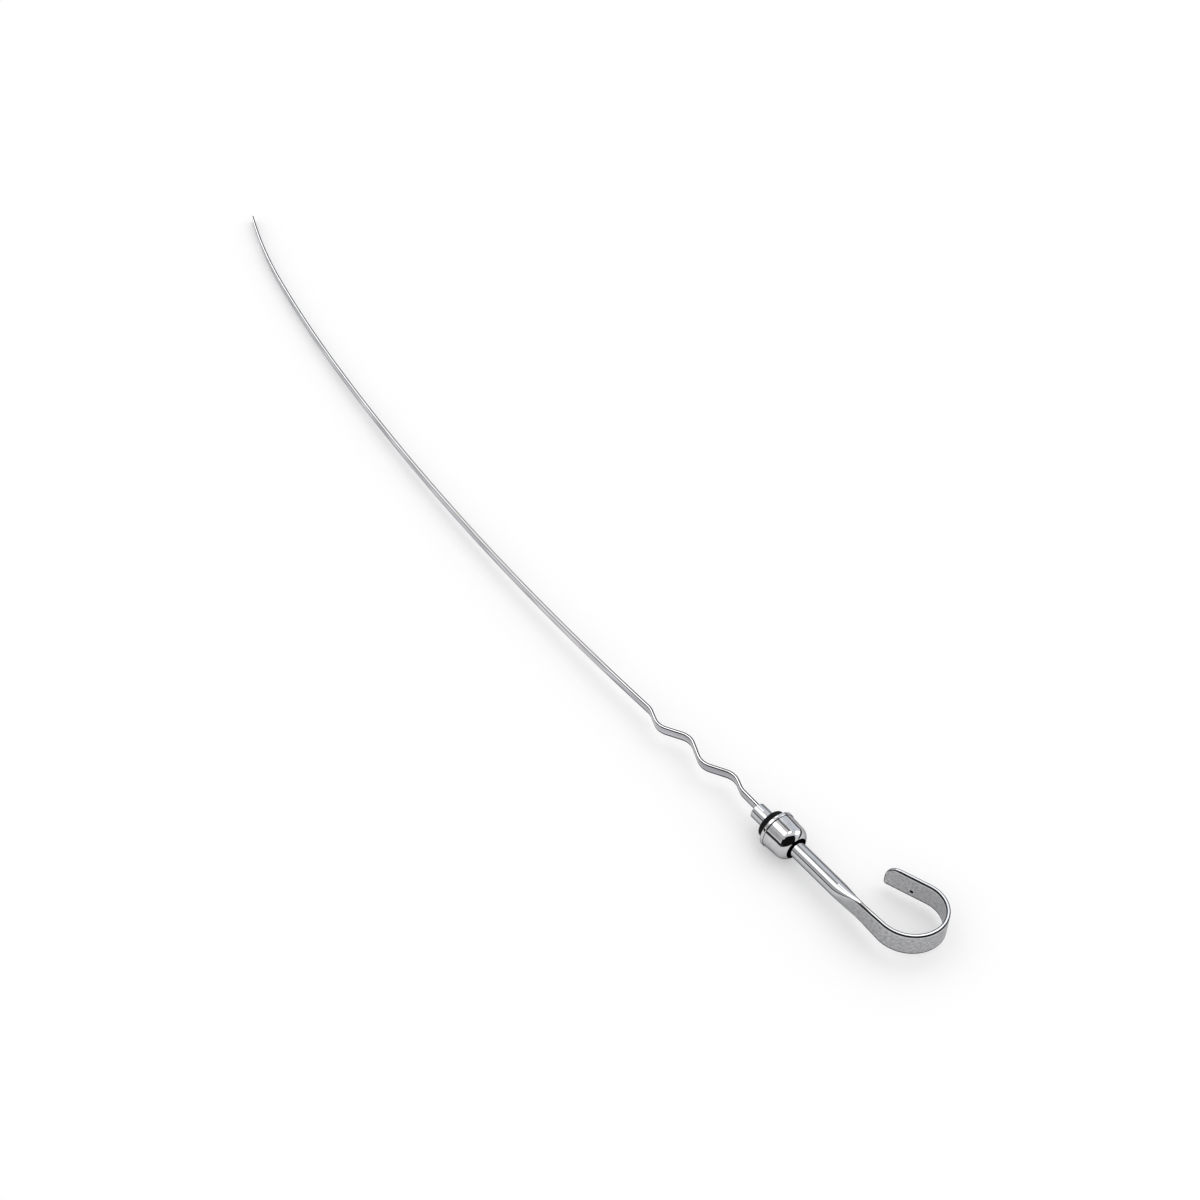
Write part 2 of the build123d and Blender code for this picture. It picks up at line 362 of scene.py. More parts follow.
@dataclass(frozen=True)
class CapPlating(Finish):
    """Bright plating on the pressed bell, with faint turning lines, clouding and a painted shade line behind its
    lip.
    """

    name: str = "cap_chrome"
    bright: Colour = (0.56, 0.56, 0.57)
    clouded: Colour = (0.47, 0.47, 0.48)
    rim: Colour = (0.36, 0.36, 0.38)
    lip_shade: Colour = (0.10, 0.10, 0.105)
    clouds: Grain = Grain((420.0,) * 3, 3.0)
    turning: Grain = Grain((5200.0, 60.0, 60.0))
    cloud_share: Pair = (0.35, 0.75)
    haze_share: Pair = (0.4, 0.8)
    polish: float = 0.04
    haze_roughness: float = 0.06
    line_roughness: float = 0.03
    bump_mm: float = 0.003
    bump_strength: float = 0.4
    lip_shade_mm: float = 4.68
    lip_shade_half_mm: float = 0.24

    def surface(self, tree: Tree) -> Flow:
        """Builds the plating.

        Args:
            tree: The material's nodes.

        Returns:
            The shader.
        """
        at = tree.place()
        clouds = tree.noise(at, self.clouds)
        lines = tree.noise(at, self.turning)
        # Painted shade: a dark line is painted round the bell where the lip steps down to the body.
        lip_shade = abs(tree.along_axis(at) - self.lip_shade_mm * MM).rise(self.lip_shade_half_mm, 0.0)
        plated = tree.blend(clouds.ramp(*self.cloud_share), self.bright, self.clouded)
        rough = self.polish + self.haze_roughness * clouds.ramp(*self.haze_share) + self.line_roughness * lines
        normal = tree.bump(lines, self.bump_mm, self.bump_strength)
        return tree.metal(tree.blend(lip_shade, plated, self.lip_shade), rough, normal, self.rim)


@dataclass(frozen=True)
class BladeSteel(Finish):
    """Rolled strip with fine rolling lines, painted darker near the handle and lighter further along, with
    painted highlights on its edges and painted dark lines beside them.
    """

    name: str = "blade_steel"
    face: Colour = (0.49, 0.485, 0.505)
    lit_face: Colour = (0.88, 0.875, 0.92)
    streak: Colour = (0.36, 0.355, 0.38)
    edge: Colour = (0.84, 0.84, 0.85)
    painted_outline: Colour = (0.025, 0.025, 0.026)
    rim: Colour = (0.95, 0.95, 0.96)
    rolling: Grain = Grain((60.0, 1000.0, 1000.0), 3.0, 0.6)
    clouds: Grain = Grain((150.0,) * 3, 3.0)
    streak_share: Pair = (0.3, 0.7)
    margin_share: float = 0.95
    face_roughness: float = 0.22
    cloud_roughness: float = 0.14
    rolled_roughness: float = 0.08
    edge_roughness: float = 0.04
    bump_mm: float = 0.012
    bump_strength: float = 0.5
    edge_mm: Pair = (1.92, 2.0)
    lit_face_mm: Pair = (80.0, 170.0)
    painted_outline_wide_mm: Pair = (-0.09, 0.48)
    painted_outline_mm: Pair = (0.40, 0.48)
    painted_outline_fade_mm: float = 0.02
    margin_mm: Pair = (1.25, 1.4)
    face_mm: Pair = (0.40, 0.45)

    def surface(self, tree: Tree) -> Flow:
        """Builds the steel.

        Args:
            tree: The material's nodes.

        Returns:
            The shader.
        """
        unbent = tree.mark(Layer.UNBENT, "Vector")
        along, side, up = tree.split(unbent)
        edge = abs(up).rise(*self.edge_mm)
        # Painted shade: dark lines are painted beside the edges, wide on one side and thin on the other, and
        # along the face's margins.
        painted_outline_wide = side.band(*self.painted_outline_wide_mm, self.painted_outline_fade_mm)
        painted_outline = edge * painted_outline_wide.most((0.0 - side).band(*self.painted_outline_mm, self.painted_outline_fade_mm))
        margin = abs(up).rise(*self.margin_mm) * abs(side).rise(*self.face_mm)
        painted_outline = painted_outline.most(self.margin_share * margin)
        rolled = tree.noise(unbent, self.rolling)
        clouds = tree.noise(unbent, self.clouds)
        # Painted light and shade: the face is painted darker near the handle and lighter from 80 to 170 mm along,
        # for how bright its reflections are there.
        face = tree.blend(along.rise(*self.lit_face_mm), self.face, self.lit_face)
        face = tree.blend(rolled.ramp(*self.streak_share), self.streak, face)
        rough = self.face_roughness + self.cloud_roughness * clouds + self.rolled_roughness * rolled
        rough = rough * (1 - edge) + self.edge_roughness * edge
        normal = tree.bump(rolled * (1 - edge), self.bump_mm, self.bump_strength)
        # Painted highlight: the rounded edges are painted light, for bright lines along them; the painted dark
        # lines go over them.
        colour = tree.blend(painted_outline, tree.blend(edge, face, self.edge), self.painted_outline)
        return tree.metal(colour, rough, normal, self.rim)


@dataclass(frozen=True)
class SealRubber(Finish):
    """Matte black rubber with a fine moulded skin and a trace of dust in its grain."""

    name: str = "seal_rubber"
    black: Colour = (0.003, 0.003, 0.003)
    dusty: Colour = (0.012, 0.011, 0.010)
    skin: Grain = Grain((4200.0,) * 3)
    dust: Grain = Grain((500.0,) * 3, 4.0, 0.6)
    dust_share: Pair = (0.5, 0.85)
    roughness: float = 0.6
    dust_roughness: float = 0.25
    gloss: float = 0.12
    bump_mm: float = 0.03
    bump_strength: float = 0.4

    def surface(self, tree: Tree) -> Flow:
        """Builds the rubber.

        Args:
            tree: The material's nodes.

        Returns:
            The shader.
        """
        at = tree.place()
        skin = tree.noise(at, self.skin)
        dust = tree.noise(at, self.dust)
        return tree.node("ShaderNodeBsdfPrincipled", sockets={
            "Base Color": tree.blend(dust.ramp(*self.dust_share), self.black, self.dusty),
            "Roughness": self.roughness + self.dust_roughness * dust,
            "Specular IOR Level": self.gloss,
            "Normal": tree.bump(skin, self.bump_mm, self.bump_strength),
        })


@dataclass(frozen=True)
class Glow(Finish):
    """The even face of a studio card."""

    name: str
    colour: Colour

    def surface(self, tree: Tree) -> Flow:
        """Builds the glow."""
        return tree.node("ShaderNodeEmission", sockets={"Color": (*self.colour, 1.0), "Strength": 1.0})


@dataclass(frozen=True)
class TablePaper(Finish):
    """Plain white paper under the dipstick, with a little of its white seen through the shadows."""

    name: str = "white_table"
    colour: Colour = (0.95, 0.95, 0.95)
    lift: float = 0.22

    def surface(self, tree: Tree) -> Flow:
        """Builds the paper.

        Args:
            tree: The material's nodes.

        Returns:
            The shader.
        """
        paper = tree.node("ShaderNodeBsdfDiffuse", sockets={"Color": (*self.colour, 1.0)})
        white = tree.node("ShaderNodeEmission", sockets={"Color": (1.0, 1.0, 1.0, 1.0), "Strength": 1.0})
        return tree.node("ShaderNodeMixShader", sockets={0: self.lift * tree.seen(), 1: paper, 2: white})


class Spot(NamedTuple):
    """A place on a line in plan: where it is, where it heads and how far along the line."""

    x: float
    y: float
    heading: float
    along: float


class Route:
    """A line in plan that is walked in straight runs and bends, in millimetres and radians."""

    def __init__(self, x: float, y: float, heading: float, along: float = 0.0) -> None:
        """Starts the line at a place and a heading."""
        self.spots = [Spot(x, y, heading, along)]

    def straight(self, length: float, shares: list[float]) -> None:
        """Walks straight on.

        Args:
            length: Length of the run.
            shares: Shares of the run at which a spot is left.
        """
        x, y, heading, along = self.spots[-1]
        for share in shares:
            gone = length * share
            self.spots.append(Spot(x + gone * cos(heading), y + gone * sin(heading), heading, along + gone))

    def bend(self, radius: float, turn: float, shares: list[float]) -> None:
        """Walks round an arc.

        Args:
            radius: Radius of the arc.
            turn: Angle of the arc, positive to the left.
            shares: Shares of the arc at which a spot is left.
        """
        x, y, heading, along = self.spots[-1]
        side = copysign(radius, turn)
        for share in shares:
            now = heading + turn * share
            place = x + side * (sin(now) - sin(heading)), y - side * (cos(now) - cos(heading))
            self.spots.append(Spot(*place, now, along + radius * abs(turn) * share))

    def corners(self, points: list[Pair], radius: float, steps: int) -> None:
        """Walks along corner points, rounding each corner but the last point.

        Args:
            points: The corners to come and the end, after the line's own start.
            radius: Radius of each rounded corner.
            steps: Spots along each rounded corner.
        """
        start = self.spots[-1]
        line = [(start.x, start.y), *points]
        legs = [(b[0] - a[0], b[1] - a[1]) for a, b in zip(line, line[1:])]
        headings = [atan2(leg[1], leg[0]) for leg in legs]
        turns = [remainder(b - a, tau) for a, b in zip(headings, headings[1:])]
        cuts = [0.0, *(radius * tan(abs(turn) / 2) for turn in turns), 0.0]
        self.spots[-1] = start._replace(heading=headings[0])
        for i, leg in enumerate(legs):
            self.straight(hypot(*leg) - cuts[i] - cuts[i + 1], [1.0])
            if i < len(turns):
                self.bend(radius, turns[i], even(steps))


def even(steps: int) -> list[float]:
    """Evenly spaced shares, without 0 and with 1."""
    return [(i + 1) / steps for i in range(steps)]


def corner_drop(distance: float, radius: float) -> float:
    """How far a rounded corner falls below a strip's edge.

    Args:
        distance: Distance from the strip's end.
        radius: The corner's radius.

    Returns:
        The fall, which is 0 beyond the corner and the radius at the end.
    """
    short = max(0.0, radius - distance)
    return radius - sqrt(max(0.0, radius * radius - short * short))


def corner_stops(radius: float, steps: int) -> list[float]:
    """Distances from a strip's end that space a rounded corner's stations evenly by angle."""
    return [radius * (1 - sin(pi / 2 * i / steps)) for i in range(steps + 1)]


class Station(NamedTuple):
    """One cross-section of a swept piece.

    It has its place, its outline to the side and up, how far it is pressed, and how far it is rolled about the
    tube's axis, in radians.
    """

    spot: Spot
    outline: Outline
    pressed: float
    roll: float = 0.0


def deselect() -> None:
    """Clears the selection, which an operator would otherwise act on."""
    bpy.ops.object.select_all(action="DESELECT")


def add_ring(name: str, count: int, filled: bool) -> Object:
    """Adds a ring of vertices and opens it in edit mode.

    Args:
        name: Name of the piece.
        count: How many vertices the ring has.
        filled: Whether a face closes the ring.

    Returns:
        The new object, in edit mode with the ring selected.
    """
    deselect()
    fill = "NGON" if filled else "NOTHING"
    bpy.ops.mesh.primitive_circle_add(vertices=count, radius=1.0, fill_type=fill)
    piece = bpy.context.object
    piece.name = piece.data.name = name
    bpy.ops.object.mode_set(mode="EDIT")
    bpy.ops.mesh.select_all(action="SELECT")
    return piece


def finish_piece(piece: Object) -> None:
    """Merges doubles, turns the faces outwards, lays the piece down as it rests and smooths its shading.

    Args:
        piece: The piece, in edit mode and in the drawing frame.
    """
    bpy.ops.mesh.select_all(action="SELECT")
    bpy.ops.mesh.remove_doubles(threshold=MERGE_MM)
    bpy.ops.mesh.normals_make_consistent(inside=False)
    bpy.ops.object.mode_set(mode="OBJECT")
    piece.data.transform(REST)
    piece.data.update()
    bpy.ops.object.shade_smooth_by_angle(angle=radians(SMOOTH_BELOW_DEG))


def sweep(name: str, stations: list[Station]) -> Object:
    """Extrudes a closed outline from station to station.

    Args:
        name: Name of the piece.
        stations: Cross-sections in order, all with as many outline points.

    Returns:
        The piece, in edit mode, with its last face selected.
    """
    piece = add_ring(name, len(stations[0].outline), True)
    mesh = bmesh.from_edit_mesh(piece.data)
    number = mesh.verts.layers.int.new("number")
    mesh.verts.layers.float_vector.new(Layer.UNBENT.value)
    mesh.verts.layers.float.new(Layer.PRESSED.value)
    for i, vertex in enumerate(mesh.verts):
        vertex[number] = i
    bmesh.update_edit_mesh(piece.data)
    for i, station in enumerate(stations):
        if i:
            bpy.ops.mesh.extrude_region_move()
        set_ring(piece, station)
    return piece


def set_ring(piece: Object, station: Station) -> None:
    """Moves the selected ring to a station and marks its vertices.

    Args:
        piece: The piece, in edit mode.
        station: Where the ring goes.
    """
    mesh = bmesh.from_edit_mesh(piece.data)
    number = mesh.verts.layers.int["number"]
    unbent = mesh.verts.layers.float_vector[Layer.UNBENT.value]
    pressed = mesh.verts.layers.float[Layer.PRESSED.value]
    x, y, heading, along = station.spot
    roll = Matrix.Rotation(station.roll, 3, "X")
    for vertex in mesh.verts:
        if vertex.select:
            side, up = station.outline[vertex[number]]
            vertex.co = roll @ Vector((x + side * sin(heading), y - side * cos(heading), up))
            vertex[unbent] = Vector((along, side, up)) * MM
            vertex[pressed] = station.pressed
    bmesh.update_edit_mesh(piece.data)


def turn_on_axis(name: str, profile: Outline, steps: int) -> Object:
    """Spins a closed profile round the tube's axis.

    Args:
        name: Name of the piece.
        profile: Places along the axis and radii, in order round the profile.
        steps: Steps of the full turn.

    Returns:
        The piece, in edit mode.
    """
    piece = add_ring(name, len(profile), False)
    mesh = bmesh.from_edit_mesh(piece.data)
    for vertex, (x, radius) in zip(mesh.verts, profile):
        vertex.co = (x, 0.0, radius)
    bmesh.update_edit_mesh(piece.data)
    bpy.ops.mesh.spin(steps=steps, angle=tau, center=(0, 0, 0), axis=(1, 0, 0))
    return piece


def rounded(corners: list[Triple], steps: int) -> Outline:
    """Rounds the corners of a closed profile.

    Args:
        corners: Each corner's place and its radius, 0 for a sharp one.
        steps: Pieces of each rounded corner.

    Returns:
        The profile's points.
    """
    points: Outline = []
    for i, (x, y, radius) in enumerate(corners):
        here = Vector((x, y))
        back = (Vector(corners[i - 1][:2]) - here).normalized()
        ahead = (Vector(corners[(i + 1) % len(corners)][:2]) - here).normalized()
        if radius == 0.0:
            points.append((x, y))
            continue
        half = acos(max(-1.0, min(1.0, back.dot(ahead)))) / 2
        centre = here + (back + ahead).normalized() * (radius / sin(half))
        first = here + back * (radius / tan(half)) - centre
        last = here + ahead * (radius / tan(half)) - centre
        start = atan2(first.y, first.x)
        turn = remainder(atan2(last.y, last.x) - start, tau)
        for step in range(steps + 1):
            angle = start + turn * step / steps
            points.append((centre.x + radius * cos(angle), centre.y + radius * sin(angle)))
    return points


class Piece:
    """What the four pieces share: the node that each stands for, its slot and finish, and how it is built."""

    node: ClassVar[str]
    slot: ClassVar[str]
    finish: ClassVar[Finish]

    def model(self) -> Object:
        """Models the piece in the drawing frame and leaves it in edit mode."""
        raise NotImplementedError

    def build(self) -> Object:
        """Models the piece, lays it down, gives it its finish and puts it in its node's place.

        Returns:
            The finished piece.
        """
        piece = self.model()
        finish_piece(piece)
        piece.data.materials.clear()
        piece.data.materials.append(self.finish.material())
        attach(piece, BODY)
        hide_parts(self.node)
        return piece


@dataclass
class Handle(Piece):
    """The drawn tube: a round shank, a stretch that is pressed flat, and the finger hook."""

    node: ClassVar[str] = "handle"
    slot: ClassVar[str] = "handle_chrome"
    finish: ClassVar[Finish] = HandlePlating()

    tube_radius: float = 3.175
    wall: float = 0.7
    shank_end: float = -7.2
    edge: float = 0.2
    flatten_start: float = 36.0
    flatten_length: float = 13.9
    pressed_width: float = 9.7
    fold_round: float = 0.3
    hook_straight: float = 9.35
    wide_radius: float = 13.55
    wide_turn_deg: float = 94.3
    tight_radius: float = 11.5
    tight_turn_deg: float = 105.7
    leg: float = 16.9
    roll_deg: float = -5.5
    leg_top_round: float = 5.5
    leg_low_round: float = 1.0
    vent_diameter: float = 1.4
    vent_from_end: float = 10.85
    vent_below_axis: float = 2.2
    grip_half_thickness: float = 1.205
    slit_rim: float = 0.5
    slit_depth: float = 0.6
    ring_points: int = 64
    bore_steps: int = 10
    edge_steps: int = 5
    shank_steps: int = 12
    flatten_steps: int = 30
    straight_steps: int = 6
    wide_steps: int = 32
    tight_steps: int = 40
    leg_steps: int = 8
    top_round_steps: int = 12
    low_round_steps: int = 6
    drill_points: int = 40
    drill_length: float = 4.2
    vent_reach: float = 1.02
    vent_wall_slope: float = 0.5

    def outline(self, radius: float, top: float, low: float, corner: Optional[float] = None) -> Outline:
        """A round or square-shouldered section whose upper and lower halves are moved apart.

        Args:
            radius: Half the thickness of the section.
            top: How far the upper half is moved up.
            low: How far the lower half is moved down.
            corner: Radius of its corners, if it is less than round.

        Returns:
            The outline, from its lowest point round.
        """
        bend = radius if corner is None else corner
        points: Outline = []
        for i in range(self.ring_points):
            angle = tau * (i + 0.5) / self.ring_points - pi / 2
            side, up = cos(angle), sin(angle)
            points.append((
                bend * side + copysign(radius - bend, side),
                bend * up + (radius - bend + top if up > 0 else bend - radius - low),
            ))
        return points

    def pressing(self, share: float, inset: float = 0.0) -> Triple:
        """Sizes of the section at a share of the flattened stretch.

        Args:
            share: 0 where the tube is round, 1 where it is flat.
            inset: How much smaller the section is, for the bore.

        Returns:
            Radius of the halves, how far they are moved apart, and how flat the tube is.
        """
        flat = (1 - cos(pi * share)) / 2
        radius = self.tube_radius - (self.tube_radius - self.wall) * flat
        return radius - inset, (self.pressed_width / 2 - self.wall) * flat, flat

    def on_axis(
        self, x: float, radius: float, lift: float = 0.0, flat: float = 0.0, corner: Optional[float] = None
    ) -> Station:
        """A station on the tube's axis."""
        return Station(Spot(x, 0.0, 0.0, x), self.outline(radius, lift, lift, corner), flat)

    def bore_stations(self) -> list[Station]:
        """The inside, from where it grips the blade's root out to the shank's end.

        Returns:
            The stations in order.
        """
        closed = (self.tube_radius - self.grip_half_thickness) / (self.tube_radius - self.wall)
        grip = acos(1 - 2 * closed) / pi
        stations = []
        for share in [grip * (1 - i / self.bore_steps) for i in range(self.bore_steps + 1)]:
            radius, lift, flat = self.pressing(share, self.wall)
            stations.append(self.on_axis(self.flatten_start + self.flatten_length * share, radius, lift, flat))
        bore = self.tube_radius - self.wall
        stations.append(self.on_axis(self.shank_end + self.edge, bore))
        stations.append(self.on_axis(self.shank_end, bore + self.edge))
        return stations

    def shank_stations(self) -> list[Station]:
        """The outside, from the rounded edge of the shank's end to where the tube is flat.

        Returns:
            The stations in order.
        """
        stations = []
        for i in reversed(range(self.edge_steps + 1)):
            angle = pi / 2 * i / self.edge_steps
            x = self.shank_end + self.edge * (1 - sin(angle))
            stations.append(self.on_axis(x, self.tube_radius - self.edge * (1 - cos(angle))))
        first = self.shank_end + self.edge
        for share in even(self.shank_steps):
            stations.append(self.on_axis(first + (self.flatten_start - first) * share, self.tube_radius))
        for share in even(self.flatten_steps):
            radius, lift, flat = self.pressing(share)
            corner = radius - (self.wall - self.fold_round) * flat
            x = self.flatten_start + self.flatten_length * share
            stations.append(self.on_axis(x, radius, lift, flat, corner))
        return stations

    def hook_stations(self) -> list[Station]:
        """The flat ribbon round its two bends to the rounded end of the leg.

        Returns:
            The stations in order.
        """
        start = self.flatten_start + self.flatten_length
        route = Route(start, 0.0, 0.0, start)
        route.straight(self.hook_straight, even(self.straight_steps))
        route.bend(self.wide_radius, radians(self.wide_turn_deg), even(self.wide_steps))
        route.bend(self.tight_radius, radians(self.tight_turn_deg), even(self.tight_steps))
        stops = {self.leg * i / self.leg_steps for i in range(self.leg_steps)}
        stops |= set(corner_stops(self.leg_top_round, self.top_round_steps))
        stops |= set(corner_stops(self.leg_low_round, self.low_round_steps))
        route.straight(self.leg, [1 - stop / self.leg for stop in sorted(stops, reverse=True)])
        end = route.spots[-1].along
        half = self.pressed_width / 2 - self.wall
        stations = []
        for spot in route.spots[1:]:
            left = end - spot.along
            top = half - corner_drop(left, self.leg_top_round)
            low = half - corner_drop(left, self.leg_low_round)
            roll = radians(self.roll_deg) * min(1.0, (spot.along - start) / self.hook_straight)
            stations.append(Station(spot, self.outline(self.wall, top, low, self.fold_round), 1.0, roll))
        return stations

    def rolled(self, place: Triple) -> Vector:
        """A place or direction of the level hook, rolled with it about the tube's axis."""
        return Matrix.Rotation(radians(self.roll_deg), 3, "X") @ Vector(place)

    def open_slit(self, heading: float) -> None:
        """Sinks a slit in the leg's end, where the pressed walls of the tube meet.

        Args:
            heading: Direction in plan of the leg's end.
        """
        bpy.ops.mesh.inset(thickness=self.slit_rim, depth=0.0)
        step = -self.slit_depth * self.rolled((cos(heading), sin(heading), 0.0))
        bpy.ops.mesh.extrude_region_move(TRANSFORM_OT_translate={"value": step})

    def drill_vent(self, piece: Object, end: Spot) -> None:
        """Drills the small hole through the leg and marks its bare wall, which the plating paints near-black as
        shade inside the hole.

        Args:
            piece: The handle, in object mode and in the drawing frame.
            end: The end of the leg.
        """
        ahead = self.rolled((cos(end.heading), sin(end.heading), 0.0))
        through = self.rolled((sin(end.heading), -cos(end.heading), 0.0))
        middle = self.rolled((end.x, end.y, -self.vent_below_axis)) - ahead * self.vent_from_end
        reach = self.vent_reach * self.vent_diameter / 2
        deselect()
        bpy.ops.mesh.primitive_cylinder_add(
            vertices=self.drill_points,
            radius=self.vent_diameter / 2,
            depth=self.drill_length,
            location=middle,
            rotation=through.to_track_quat("Z", "Y").to_euler(),
        )
        drill = bpy.context.object
        deselect()
        piece.select_set(True)
        bpy.context.view_layer.objects.active = piece
        cut = piece.modifiers.new("vent", "BOOLEAN")
        cut.operation = "DIFFERENCE"
        cut.solver = "EXACT"
        cut.object = drill
        bpy.ops.object.modifier_apply(modifier=cut.name)
        bpy.data.objects.remove(drill)
        pressed = piece.data.attributes[Layer.PRESSED.value].data
        unbent = piece.data.attributes[Layer.UNBENT.value].data
        up = self.rolled((0.0, 0.0, 1.0))
        for vertex in piece.data.vertices:
            out = vertex.co - middle
            if (out - through * out.dot(through)).length < reach:
                along = end.along - self.vent_from_end + out.dot(ahead)
                height = out.dot(up) - self.vent_below_axis
                unbent[vertex.index].vector = Vector((along, out.dot(through), height)) * MM
                pressed[vertex.index].value = 1.0
        bare = piece.data.attributes.new(Layer.BARE.value, "FLOAT", "FACE").data
        for face in piece.data.polygons:
            out = face.center - middle
            near = (out - through * out.dot(through)).length < reach
            bare[face.index].value = float(near and abs(face.normal.dot(through)) < self.vent_wall_slope)

    def model(self) -> Object:
        """Models the tube.

        Returns:
            The handle.
        """
        hook = self.hook_stations()
        piece = sweep("hook_handle", [*self.bore_stations(), *self.shank_stations(), *hook])
        end = hook[-1].spot
        self.open_slit(end.heading)
        bpy.ops.object.mode_set(mode="OBJECT")
        self.drill_vent(piece, end)
        bpy.ops.object.mode_set(mode="EDIT")
        return piece


@dataclass
class Blade(Piece):
    """The rolled strip: its root in the tube, two waves, a long bow and the rounded tip with its level marks."""

    node: ClassVar[str] = "blade"
    slot: ClassVar[str] = "blade_steel"
    finish: ClassVar[Finish] = BladeSteel()

    width: float = 4.2
    thickness: float = 0.95
    edge_round: float = 0.16
    root_x: float = 45.7227
    root_straight: float = 17.2
    root_drift: float = 1.05
    wave_count: int = 2
    wave_lead: Pair = (7.05, 2.55)
    wave_fall: Pair = (11.9, 6.46)
    wave_rise: Pair = (12.25, 4.9)
    wave_tail: Pair = (8.3, 3.0)
    wave_bend_radius: float = 7.4
    bow_lead: float = 6.0
    bow_lead_deg: float = 1.6
    bow: Pair = (1490.0, 248.0)
    swept: Pair = (970.0, 64.5)
    curl: Pair = (340.0, 54.8)
    tip_round: float = 1.6
    marks_from_tip: Pair = (24.0, 48.0)
    mark_width: float = 0.6
    mark_depth: float = 0.15
    mark_wall: float = 0.03
    wave_steps: int = 12
    bow_steps: int = 40
    swept_steps: int = 14
    curl_steps: int = 14
    tip_steps: int = 8
    edge_steps: int = 7

    def route(self) -> Route:
        """The blade's middle line, from its root to its tip.

        Returns:
            The walked line.
        """
        x, y = -self.root_straight, self.root_drift
        points = [(x, y)]
        steps = [(-self.wave_lead[0], self.wave_lead[1])]
        for wave in range(self.wave_count):
            rise = self.wave_tail if wave == self.wave_count - 1 else self.wave_rise
            steps += [(-self.wave_fall[0], -self.wave_fall[1]), (-rise[0], rise[1])]
        lead = radians(self.bow_lead_deg)
        steps.append((-self.bow_lead * cos(lead), -self.bow_lead * sin(lead)))
        for along, across in steps:
            x, y = x + along, y + across
            points.append((x, y))
        route = Route(self.root_x, 0.0, pi)
        route.corners(points, self.wave_bend_radius, self.wave_steps)
        for (radius, length), count in ((self.bow, self.bow_steps), (self.swept, self.swept_steps)):
            route.bend(radius, -length / radius, even(count))
        radius, length = self.curl
        stops = {length * i / self.curl_steps for i in range(self.curl_steps)}
        stops |= set(corner_stops(self.tip_round, self.tip_steps))
        for mark in self.marks_from_tip:
            for half in (self.mark_width / 2, self.mark_width / 2 - self.mark_wall):
                stops |= {mark - half, mark + half}
        route.bend(radius, -length / radius, [1 - s / length for s in sorted(stops, reverse=True)])
        return route

    def outline(self, left: float) -> Outline:
        """The strip's section at a distance from its tip.

        Args:
            left: Distance still to go to the tip.

        Returns:
            The outline, from its lower edge round.
        """
        half = self.width / 2 - corner_drop(left, self.tip_round)
        side = self.thickness / 2
        floor = self.mark_width / 2 - self.mark_wall / 2
        marked = any(abs(left - mark) < floor for mark in self.marks_from_tip)
        far = side - self.mark_depth if marked else side
        box = [(side, -half), (side, half), (-side, half), (-side, -half)]
        points = rounded([(*corner, self.edge_round) for corner in box], self.edge_steps)
        return [(min(u, far), w) for u, w in points]

    def model(self) -> Object:
        """Models the strip.

        Returns:
            The blade.
        """
        spots = self.route().spots
        end = spots[-1].along
        return sweep("waved_blade", [Station(spot, self.outline(end - spot.along), 0.0) for spot in spots])


@dataclass
class Cap(Piece):
    """The pressed bell: a small lip at its rim, a slightly tapered body, an oval shoulder and a wide hole."""

    node: ClassVar[str] = "cap"
    slot: ClassVar[str] = "cap_chrome"
    finish: ClassVar[Finish] = CapPlating()

    rim_x: float = 3.3
    body_radius: float = 7.25
    body_length: float = 7.7
    taper_deg: float = 2.8
    shoulder_flatness: float = 0.70
    shoulder_steps: int = 28
    lip_height: float = 0.35
    lip_length: float = 1.1
    lip_runout: float = 0.3
    lip_round: float = 0.18
    hole_radius: float = 4.5
    wall: float = 0.6
    mouth_round: float = 0.1
    corner_steps: int = 5
    steps: int = 128

    def profile(self) -> Outline:
        """The wall's closed profile.

        Returns:
            Places along the axis and radii.
        """
        taper = tan(radians(self.taper_deg))
        end_radius = self.body_radius - (self.body_length - self.lip_length - self.lip_runout) * taper
        rim = self.body_radius + self.lip_height
        lip_x = self.rim_x + self.lip_length
        shoulder_x = self.rim_x + self.body_length
        tangent = atan(1 / (self.shoulder_flatness * taper))
        across = end_radius / sin(tangent)
        along = self.shoulder_flatness * across
        oval_x = shoulder_x - along * cos(tangent)
        hole = asin(self.hole_radius / across)
        bore = end_radius - self.wall
        outside = [
            (self.rim_x, rim, self.lip_round),
            (lip_x, rim, self.lip_round),
            (lip_x + self.lip_runout, self.body_radius, self.lip_round / 2),
        ]
        for i in range(self.shoulder_steps + 1):
            angle = tangent - (tangent - hole) * i / self.shoulder_steps
            outside.append((oval_x + along * cos(angle), across * sin(angle), 0.0))
        inside = [
            (oval_x + along * cos(hole) - self.wall, self.hole_radius, 0.0),
            (shoulder_x, bore, 0.0),
            (self.rim_x, bore, self.mouth_round),
        ]
        return rounded([*outside, *inside], self.corner_steps)

    def model(self) -> Object:
        """Models the bell."""
        return turn_on_axis("bell_cap", self.profile(), self.steps)


